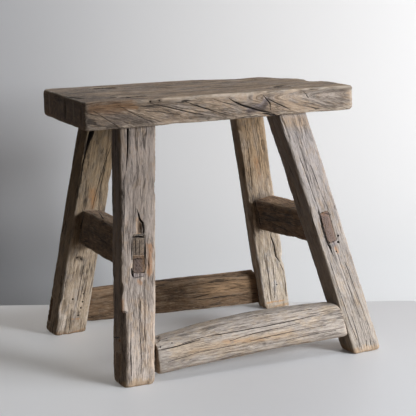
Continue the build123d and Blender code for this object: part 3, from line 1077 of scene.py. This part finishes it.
class Weathering(Nodes):
    """Geometry nodes that wear a timber down: its arrises, its soft grain, and the marks that it is given."""

    INPUTS = (
        ("NodeSocketGeometry", ("Geometry",)),
        ("NodeSocketObject", ("Fine marks", "Broad marks")),
        ("NodeSocketMaterial", ("Material",)),
        ("NodeSocketFloat", ("Arris wear", "Grain depth", "Hollow depth", "Fullness", "Seed")),
    )
    BLUR_STEPS = 22

    def __init__(self):
        super().__init__(bpy.data.node_groups.new("Weathered timber", "GeometryNodeTree"))
        self.tree.is_modifier = True
        for kind, names in self.INPUTS:
            for name in names:
                self.tree.interface.new_socket(name, in_out="INPUT", socket_type=kind)
        self.tree.interface.new_socket("Geometry", in_out="OUTPUT", socket_type="NodeSocketGeometry")
        self.given = {socket.name: Wire(self, socket) for socket in self.node("NodeGroupInput").outputs}
        self.grain = self.named("grain", "FLOAT_VECTOR")
        self.place = self.add("GeometryNodeInputPosition")
        self.normal = self.add("GeometryNodeInputNormal")
        self.free = self.maths("SUBTRACT", 1.0, self.named("calm"))
        self.build()

    def named(self, name, kind="FLOAT"):
        """An attribute of the mesh."""
        return self.add("GeometryNodeInputNamedAttribute", [name], data_type=kind)

    def uneven(self, pattern, shift=0.0):
        """A pattern along the timber's grain, which its seed and the shift change."""
        return self.grained(self.grain, pattern, self.given["Seed"] + shift)

    def standing_proud(self):
        """How far each point stands out from its smoothed neighbourhood, which is most at the arrises."""
        inputs = {"Value": self.place, "Iterations": self.BLUR_STEPS}
        even = self.add("GeometryNodeBlurAttribute", inputs, data_type="FLOAT_VECTOR")
        out = self.vector("DOT_PRODUCT", self.vector("SUBTRACT", self.place, even), self.normal)
        return self.maths("MAXIMUM", out, 0.0)

    def worn_arrises(self, proud):
        """How deep the arrises are worn: unevenly, more in some places and at the feet."""
        worn = proud * self.ranged(self.uneven("arris"), 0.36, 0.68, 0.25, 1.7)
        worn *= self.ranged(self.uneven("broken arris", 3.0), 0.56, 0.64, 1.0, 2.3)
        worn *= self.ranged(self.height(self.place), *FOOT_WEAR_HEIGHTS, 1.8, 1.0)
        return worn * (self.free * self.given["Arris wear"])

    def furrows(self):
        """How deep the soft wood between the growth rings has weathered back."""
        furrow = self.ranged(self.uneven("furrow"), 0.46, 0.6) ** 1.5
        furrow *= self.ranged(self.uneven("furrow depth", 5.0), 0.35, 0.7, 0.4, 1.4)
        return furrow * self.given["Grain depth"]

    def marked(self, title):
        """How deep the given marks are cut at each point, and how dark they make it."""
        marks = self.add("GeometryNodeObjectInfo", [self.given[title]], "Geometry")
        nearest = self.add("GeometryNodeSampleNearest", [marks], domain="POINT")

        def sampled(value, kind="FLOAT"):
            """A value of the nearest of the marks' points."""
            inputs = {"Geometry": marks, "Value": value, "Index": nearest}
            return self.add("GeometryNodeSampleIndex", inputs, data_type=kind, domain="POINT")

        far = self.vector("DISTANCE", sampled(self.place, "FLOAT_VECTOR"), self.place)
        ratio = far / sampled(self.named("half_width"))
        cut = self.ranged(ratio, 0.1, 1.0, 1.0, 0.0) * sampled(self.named("depth"))
        return cut, self.ranged(ratio, 0.45, 1.0, 1.0, 0.0) * sampled(self.named("dark"))

    def build(self):
        """Sinks each point by all of its wear, and notes how worn, dark and sunk it is."""
        proud = self.standing_proud()
        hollow = self.ranged(self.uneven("hollow", 9.0), 0.47, 0.78)
        pitted = self.ranged(self.uneven("pit", 12.0), 0.5, 0.72)
        sunk = hollow * self.given["Hollow depth"] + pitted * self.given["Grain depth"]
        faces = (self.furrows() + sunk) * self.ranged(self.free, 0.0, 0.9, 0.3, 1.0)
        swollen = self.given["Fullness"] * self.ranged(self.free, 0.3, 1.0)
        sink = self.worn_arrises(proud) + faces - swollen
        fine_cut, fine_dark = self.marked("Fine marks")
        broad_cut, broad_dark = self.marked("Broad marks")
        sink = sink + fine_cut + broad_cut
        notes = {
            "worn": self.ranged(proud, *PALE_FROM),
            "dark": self.maths("MAXIMUM", fine_dark, broad_dark),
            "sunk": hollow + pitted,
        }
        out = self.given["Geometry"]
        for name, value in notes.items():
            inputs = {"Geometry": out, "Name": name, "Value": value}
            out = self.add("GeometryNodeStoreNamedAttribute", inputs, data_type="FLOAT", domain="POINT")
        offset = self.vector("SCALE", self.normal, sink * -1.0)
        moved = self.add("GeometryNodeSetPosition", {"Geometry": out, "Offset": offset})
        real = self.add("GeometryNodeRealizeInstances", [self.add("GeometryNodeSetShadeSmooth", [moved])])
        done = self.add("GeometryNodeSetMaterial", {"Geometry": real, "Material": self.given["Material"]})
        self.node("NodeGroupOutput", [done])


def run_tree(obj, tree, inputs):
    """Runs a node tree on the object and leaves its plain result, with no modifier."""
    modifier = obj.modifiers.new(tree.name, "NODES")
    modifier.node_group = tree
    named = {item.name: item.identifier for item in tree.interface.items_tree if item.in_out == "INPUT"}
    for name, value in inputs.items():
        modifier[named[name]] = value
    mesh = plain_mesh(obj, obj.name)
    obj.modifiers.clear()
    old, obj.data = obj.data, mesh
    bpy.data.meshes.remove(old)
    mesh.name = obj.name


class Elm(Nodes):
    """Weathered elm: rings about the pith, checks and fibres along the grain, grey patches, pale arrises."""

    RING = 4.5 * MM
    BUMP_DEPTH = 1.6 * MM
    SEED_SHIFT = 0.37

    def __init__(self, timber, seed):
        self.material = bpy.data.materials.new(timber.node + " elm")
        self.material.use_nodes = True
        super().__init__(self.material.node_tree)
        self.tree.nodes.clear()
        self.timber = timber
        self.tone = TONES[timber.tone]
        self.find_figure(seed * self.SEED_SHIFT)
        self.find_cracks()
        colour = self.timber_colour()
        colour = self.stained_colour(colour)
        colour = self.height_shade_top_light_and_rim_colour(colour)
        self.finish(self.cracked_colour(colour))

    def noted(self, title, output="Fac"):
        """An attribute of the mesh."""
        return self.add("ShaderNodeAttribute", (), output, attribute_name=title)

    def wandering(self, where, across, along, amount):
        """The places moved aside by up to about half an amount, so that the grain isn't straight."""
        inputs = {"Vector": self.drawn_out(where, across, along), "Scale": 1.0}
        noise = self.add("ShaderNodeTexNoise", inputs, "Color")
        off = self.vector("SUBTRACT", noise, (0.5, 0.5, 0.5))
        return self.vector("ADD", where, self.vector("MULTIPLY", off, (amount, amount, 0.0)))

    def find_figure(self, shift):
        """The patterns of the wood: its rings, fibres, streaks, patches and pores."""
        grain = self.vector("ADD", self.noted("grain", "Vector"), (shift, shift, shift * 3))
        bent = self.wandering(self.wandering(grain, *BEND), *RIPPLE)
        pith = (self.timber.pith[0] * MM - shift, self.timber.pith[1] * MM - shift, 0.0)
        level = self.vector("MULTIPLY", self.vector("ADD", bent, pith), (1.0, 1.0, 0.0))
        rings = self.maths("FRACT", self.vector("LENGTH", level) / self.RING)
        self.rings = self.ranged(rings, 0.45, 1.0, smooth=False) ** 2.0
        self.bent = bent
        self.frayed = self.wandering(bent, *FRAY)
        self.end = self.noted("end")
        self.fibre = self.grained(self.frayed, "fibre")
        self.streak = self.grained(bent, "streak")
        self.mottle = self.grained(bent, "mottle")
        self.patch = self.grained(grain, "patch")
        self.grime = self.ranged(self.grained(bent, "grime"), 0.5, 0.62)
        self.pores = self.ranged(self.grained(bent, "pore"), 0.58, 0.66)
        self.ragged = self.patch * 0.25 + self.mottle * 0.4 + self.fibre * 0.35

    def find_cracks(self):
        """The wide and the narrow checks, which run along the grain in some places and stop at end grain."""
        side = self.ranged(self.end, 0.55, 0.85, 1.0, 0.0)
        wide_kept = self.ranged(self.grained(self.bent, "wide checks"), 0.5, 0.62)
        narrow_kept = self.ranged(self.grained(self.bent, "narrow checks"), 0.44, 0.6)
        self.wide = self.cells(*WIDE_CHECKS) * wide_kept * side
        self.narrow = self.cells(*NARROW_CHECKS) * narrow_kept * side

    def cells(self, across, along, half_width):
        """Lines between long cells that lie along the grain."""
        inputs = {"Vector": self.drawn_out(self.frayed, across, along), "Scale": 1.0}
        edges = self.add("ShaderNodeTexVoronoi", inputs, "Distance", feature="DISTANCE_TO_EDGE")
        return self.ranged(edges, half_width * 0.4, half_width, 1.0, 0.0)

    def timber_colour(self):
        """The wood's own colours, its grime and its pale arrises."""
        brown = self.tone.brown
        contrast = self.timber.contrast
        shift = self.tone.grey_share * 0.22
        greyed = self.ranged(self.patch * 0.5 + self.mottle * 0.5, 0.58 - shift, 0.68 - shift)
        sunk = self.noted("sunk") * 0.4 + 0.6
        colour = self.layered(self.mix(greyed, self.tone.tan, self.tone.grey), (
            (self.ranged(self.mottle, 0.52, 0.34) * 0.3, PALE),
            (self.ranged(self.streak, 0.5, 0.7) * (0.6 * contrast), brown),
            (self.ranged(self.mottle, 0.5, 0.68) * (0.4 * contrast), brown),
            (self.rings * self.ranged(self.end, 0.6, 0.9, 0.35, 0.7), brown),
            (self.ranged(self.fibre, 0.49, 0.34) * 0.4, PALE),
            (self.ranged(self.fibre, 0.5, 0.66) * 0.55, brown),
            (self.grime * sunk * self.tone.dirt, GRIME),
            (self.noted("worn") * self.ranged(self.ragged, 0.42, 0.54, 0.05, 0.75), PALE)))
        return self.tinted(colour, self.ranged(self.end, 0.6, 0.9), END_TINT)

    def stained_colour(self, colour):
        """The colour with the stains over it, some of them painted shade, which are ragged and broken by the
        fibres.
        """
        for kind, stain in STAINS.items():
            reach = self.noted(kind) + (self.ragged - 0.5) * 3.6
            share = self.ranged(reach, 0.1, 0.7) * self.ranged(self.noted(kind), 0.0, 0.15)
            broken = self.mix(self.ranged(self.fibre, 0.45, 0.65), stain, colour)
            colour = self.mix(share * 0.8, colour, broken)
        return colour

    def height_shade_top_light_and_rim_colour(self, colour):
        """The colour darkened higher up and lightened near the floor, partly the wood's greying and partly
        painted shade, with painted light on the faces that look up, and the foot's broken rim.
        """
        height = self.height(self.add("ShaderNodeTexCoord", (), "Object"))
        # painted shade: a tint from the timber's low to its high part, darker under the seat, mixed with its
        # real greying
        share = self.ranged(height, *TINT_HEIGHTS, smooth=False)
        tint = self.mix(share, self.timber.low, self.timber.high)
        colour = self.mix(1.0, colour, tint, "MULTIPLY")
        # painted light: the faces that look up are brightened by the tone's top tint
        colour = self.tinted(colour, self.ranged(self.noted("up"), 0.5, 0.9), self.tone.top)
        rim = self.ranged(height, *RIM_HEIGHTS, 1.0, 0.0) + (self.ragged - 0.52) * 5.0
        return self.mix(self.ranged(rim, 0.4, 0.85) * 0.8, colour, self.mix(self.patch, PALE, BROKEN))

    def cracked_colour(self, colour):
        """The colour with the pores, the checks and the ragged dark marks over it."""
        checks = self.timber.checks
        dark = self.noted("dark")
        ragged = self.ranged(dark + (self.ragged - 0.5) * 1.5, 0.1, 0.7)
        return self.layered(colour, (
            (self.pores * 0.35, self.tone.brown),
            (self.narrow * (0.6 * checks), BLACK),
            (self.wide * checks, BLACK),
            (ragged * self.ranged(dark, 0.0, 0.12), BLACK)))

    def finish(self, colour):
        """The surface: rougher or smoother in patches, with its fibres, rings and checks sunk in."""
        depth = self.fibre * 0.5 + self.streak * 0.7 + self.rings * 0.3
        depth = depth + self.maths("MAXIMUM", self.wide, self.narrow * 0.5)
        inputs = {"Strength": 1.0, "Distance": self.BUMP_DEPTH, "Height": depth * -1.0}
        shader = self.add("ShaderNodeBsdfPrincipled", {
            "Base Color": colour,
            "Roughness": self.ranged(self.patch, 0.3, 0.7, 0.72, 0.9),
            "Normal": self.add("ShaderNodeBump", inputs),
            "Specular IOR Level": 0.3,
        })
        self.node("ShaderNodeOutputMaterial", [shader])


def wear_inputs(timber):
    """How far a timber is worn, for its weathering. The small pieces have a wear of their own."""
    sizes = bpy.context.scene.stool_wear
    inputs = {
        "Arris wear": sizes.arris_wear * timber.wear,
        "Grain depth": sizes.grain_depth,
        "Hollow depth": sizes.hollow_depth,
        "Fullness": timber.fullness * MM,
    }
    if timber.voxel < SMALL_VOXEL:
        inputs.update({"Arris wear": SMALL_ARRIS_WEAR, "Grain depth": SMALL_GRAIN_DEPTH, "Hollow depth": 0.0})
    return inputs


def weathered(timber):
    """Makes one timber from its CAD node and lets it stand for that node."""
    seed = ALL_TIMBERS.index(timber) + 1
    obj = solid_copy(timber)
    fine, broad = marks_of(timber)
    refine(obj.data, fine)
    note_surface(obj.data, timber)
    marks = {
        "Fine marks": marks_object(timber.node + "_fine", fine),
        "Broad marks": marks_object(timber.node + "_broad", broad),
    }
    tree = bpy.data.node_groups.get("Weathered timber") or Weathering().tree
    finish = Elm(timber, seed).material
    run_tree(obj, tree, {**wear_inputs(timber), **marks, "Material": finish, "Seed": float(seed)})
    kept_inside(obj.data)
    for marker in marks.values():
        bpy.data.objects.remove(marker)
    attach(obj, "root")
    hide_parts(timber.node)


def shown_rays(n):
    """1 for the rays that show the stage, straight or in a gloss, and 0 for those that light the stool."""
    rays = n.node("ShaderNodeLightPath").outputs
    camera, glossy, clear = (Wire(n, rays[f"Is {kind} Ray"]) for kind in ("Camera", "Glossy", "Transmission"))
    return n.maths("MAXIMUM", camera, n.maths("MAXIMUM", glossy, clear))


def stage_paint(name, colour, bounce, roughness, left_shade_colour=None):
    """A paint that looks pale, and may turn to a painted shade on the left, but gives less light back.

    Far from the stool, where the lamps do not reach, it shows its own pale colour.
    """
    paint = bpy.data.materials.new(name)
    paint.use_nodes = True
    n = Nodes(paint.node_tree)
    shader = paint.node_tree.nodes["Principled BSDF"]
    place = n.add("ShaderNodeTexCoord", (), "Object")
    shown = tuple(colour)
    if left_shade_colour is not None:
        across = n.add("ShaderNodeSeparateXYZ", [place], "X")
        # painted shade: the wall is shown darker towards the left, for the stool's soft shadow and the light
        # falling off
        shown = n.mix(n.ranged(across, *LEFT_TURN), tuple(left_shade_colour), shown)
    n.feed(shader, "Base Color", n.mix(shown_rays(n), tuple(bounce), shown))
    n.feed(shader, "Roughness", roughness)
    far = n.ranged(n.vector("LENGTH", place), *PLAIN_FROM)
    own = n.add("ShaderNodeEmission", [(*colour, 1), PLAIN_STRENGTH])
    share = far * n.add("ShaderNodeLightPath", (), "Is Camera Ray")
    blend = n.add("ShaderNodeMixShader", [share, Wire(n, shader.outputs[0]), own])
    n.feed(paint.node_tree.nodes["Material Output"], 0, blend)
    return paint


def clear_from_behind(paint):
    """Lets the sight through the back of a painted wall."""
    n = Nodes(paint.node_tree)
    end = paint.node_tree.nodes["Material Output"]
    front = Wire(n, end.inputs[0].links[0].from_socket)
    back = n.add("ShaderNodeNewGeometry", (), "Backfacing")
    n.feed(end, 0, n.add("ShaderNodeMixShader", [back, front, n.add("ShaderNodeBsdfTransparent")]))


def stage_sheet(name, middle, half, across, material):
    """A flat sheet of the stage: where a line, given by its middle and its half, is carried across."""
    mesh = bpy.data.meshes.new(name)
    corners = [middle - half, middle + half, middle + half + across, middle - half + across]
    mesh.from_pydata(corners, [], [range(len(corners))])
    mesh.materials.append(material)
    linked(name, mesh)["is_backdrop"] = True


def make_floor_and_wall(look):
    """The pale floor, its edge and the wall behind it."""
    floor = stage_paint("Pale floor", look.floor_colour, look.bounce_colour, FLOOR_ROUGHNESS)
    wall = stage_paint(
        "Pale wall", look.wall_colour, look.bounce_colour, WALL_ROUGHNESS, look.wall_left_colour)
    clear_from_behind(wall)
    seat_low, seat_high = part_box("seat")
    edge = (seat_low + seat_high) / 2 - WALL_FACING * FLOOR_BEHIND
    edge.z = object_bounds()[0].z
    half = Vector((-WALL_FACING.y, WALL_FACING.x, 0)) * STAGE_REACH
    forward = WALL_FACING * STAGE_REACH
    foot = edge - WALL_FACING * look.wall_gap - Vector((0, 0, WALL_BELOW))
    stage_sheet("floor", edge + forward, half, -forward, floor)
    stage_sheet("floor_edge", edge, half, Vector((0, 0, -FLOOR_SKIRT)), floor)
    stage_sheet("wall", foot, half, Vector((0, 0, WALL_BELOW + STAGE_REACH)), wall)


def make_camera(scene):
    """The camera, where the photograph was taken."""
    right, up, ahead = view_axes()
    camera = linked("Camera", bpy.data.cameras.new("Camera"))
    camera.data.sensor_width = SENSOR
    camera.data.lens = CAMERA_FOCUS / CAMERA_FRAME * SENSOR
    camera.data.clip_end = FAR_CLIP
    turn = Matrix((right, up, -ahead)).transposed().to_4x4()
    camera.matrix_world = Matrix.Translation(camera_place()) @ turn
    scene.camera = camera


def make_lamps(look):
    """The soft lamps, turned to the stool's middle."""
    low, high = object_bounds()
    for lamp in LAMPS:
        light = bpy.data.lights.new(lamp.name, "AREA")
        light.size = lamp.width
        light.energy = getattr(look, lamp.name.lower() + "_power")
        light.color = lamp.colour
        light.use_shadow = lamp.shadow
        way = Vector(lamp.way).normalized()
        turn = way.to_track_quat("Z", "Y").to_matrix().to_4x4()
        place = Matrix.Translation((low + high) / 2 + way * lamp.distance)
        linked(lamp.name, light).matrix_world = place @ turn


def make_world(scene, look):
    """A world that looks like the wall, and gives a little warm light all round."""
    scene.world = scene.world or bpy.data.worlds.new("World")
    scene.world.use_nodes = True
    n = Nodes(scene.world.node_tree)
    n.tree.nodes.clear()
    light = n.add("ShaderNodeBackground", [(*FILL_COLOUR, 1), look.fill])
    seen = n.add("ShaderNodeBackground", [(*look.wall_colour, 1), 1.0])
    n.node("ShaderNodeOutputWorld", [n.add("ShaderNodeMixShader", [shown_rays(n), light, seen])])


class StoolWear(PropertyGroup):
    """How far the timber is worn."""

    arris_wear: FloatProperty(
        name="Arris wear", description="How much of each arris is worn round",
        default=0.55, min=0, max=2)
    grain_depth: FloatProperty(
        name="Grain depth", description="How deep the soft grain has weathered back",
        default=0.0008, min=0, max=0.003, precision=4, unit="LENGTH")
    hollow_depth: FloatProperty(
        name="Hollow depth", description="How deep the faces are worn in broad hollows",
        default=0.0016, min=0, max=0.004, precision=4, unit="LENGTH")


class StoolStage(PropertyGroup):
    """The floor, the backdrop and the light."""

    floor_colour: FloatVectorProperty(
        name="Floor", description="Colour of the floor",
        default=(0.73, 0.745, 0.775), subtype="COLOR", min=0, max=1)
    wall_colour: FloatVectorProperty(
        name="Backdrop", description="Colour of the backdrop",
        default=(0.91, 0.915, 0.925), subtype="COLOR", min=0, max=1)
    # painted shade on the wall's left
    wall_left_colour: FloatVectorProperty(
        name="Backdrop left", description="Colour of the backdrop far to the left",
        default=(0.57, 0.59, 0.64), subtype="COLOR", min=0, max=1)
    bounce_colour: FloatVectorProperty(
        name="Bounce", description="Colour of the light that the floor and backdrop give back",
        default=(0.2, 0.14, 0.09), subtype="COLOR", min=0, max=1)
    window_power: FloatProperty(
        name="Window", description="Power of the soft light on the right", default=78, min=0, unit="POWER")
    sill_power: FloatProperty(
        name="Sill", description="Power of the low light near the right", default=11, min=0, unit="POWER")
    ceiling_power: FloatProperty(
        name="Ceiling", description="Power of the soft light above", default=14, min=0, unit="POWER")
    back_power: FloatProperty(
        name="Back", description="Power of the shadowless light behind", default=18, min=0, unit="POWER")
    wall_gap: FloatProperty(
        name="Wall gap", description="How far the wall is behind the floor's edge",
        default=0.3, min=0, unit="LENGTH")
    fill: FloatProperty(name="Fill", description="Strength of the light all round", default=0.01, min=0)


def make_timbers(timbers):
    """Makes a group of like timbers for an operator."""
    for timber in timbers:
        weathered(timber)
    return {"FINISHED"}


class STOOL_OT_seat(Operator):
    """Make the weathered seat plank"""

    bl_idname = "stool.seat"
    bl_label = "Seat plank"

    def execute(self, context):
        return make_timbers((SEAT,))


class STOOL_OT_legs(Operator):
    """Make the four splayed legs"""

    bl_idname = "stool.legs"
    bl_label = "Legs"

    def execute(self, context):
        return make_timbers(LEGS)


class STOOL_OT_long_stretchers(Operator):
    """Make the front and rear stretchers"""

    bl_idname = "stool.long_stretchers"
    bl_label = "Long stretchers"

    def execute(self, context):
        return make_timbers(LONG_STRETCHERS)


class STOOL_OT_short_stretchers(Operator):
    """Make the left and right stretchers"""

    bl_idname = "stool.short_stretchers"
    bl_label = "Short stretchers"

    def execute(self, context):
        return make_timbers(SHORT_STRETCHERS)


class STOOL_OT_wedges(Operator):
    """Make the wedges and the packing"""

    bl_idname = "stool.wedges"
    bl_label = "Wedges and packing"

    def execute(self, context):
        return make_timbers((*WEDGES, PACKING))


class STOOL_OT_stage(Operator):
    """Set the floor, the backdrop, the light and the camera"""

    bl_idname = "stool.stage"
    bl_label = "Stage"

    def execute(self, context):
        look = context.scene.stool_stage
        make_camera(context.scene)
        make_floor_and_wall(look)
        make_lamps(look)
        make_world(context.scene, look)
        context.scene.view_settings.view_transform = "Standard"
        return {"FINISHED"}


STEPS = (
    STOOL_OT_seat, STOOL_OT_legs, STOOL_OT_long_stretchers, STOOL_OT_short_stretchers,
    STOOL_OT_wedges, STOOL_OT_stage,
)


class STOOL_PT_panel(Panel):
    """The stool's pieces and their sizes"""

    bl_label = "Worn elm stool"
    bl_space_type = "VIEW_3D"
    bl_region_type = "UI"
    bl_category = "Stool"

    def draw(self, context):
        for group in (context.scene.stool_wear, context.scene.stool_stage):
            for name in type(group).__annotations__:
                self.layout.prop(group, name)
        for step in STEPS:
            self.layout.operator(step.bl_idname)


CLASSES = (StoolWear, StoolStage, *STEPS, STOOL_PT_panel)


def register():
    """Adds the classes and the settings to Blender."""
    for item in CLASSES:
        bpy.utils.register_class(item)
    bpy.types.Scene.stool_wear = PointerProperty(type=StoolWear)
    bpy.types.Scene.stool_stage = PointerProperty(type=StoolStage)


def unregister():
    """Takes the settings and the classes out again."""
    del bpy.types.Scene.stool_stage
    del bpy.types.Scene.stool_wear
    for item in reversed(CLASSES):
        bpy.utils.unregister_class(item)


def main():
    """Makes the whole scene."""
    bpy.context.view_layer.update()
    register()
    for step in STEPS:
        group, name = step.bl_idname.split(".")
        getattr(getattr(bpy.ops, group), name)()


if __name__ == "__main__":
    main()
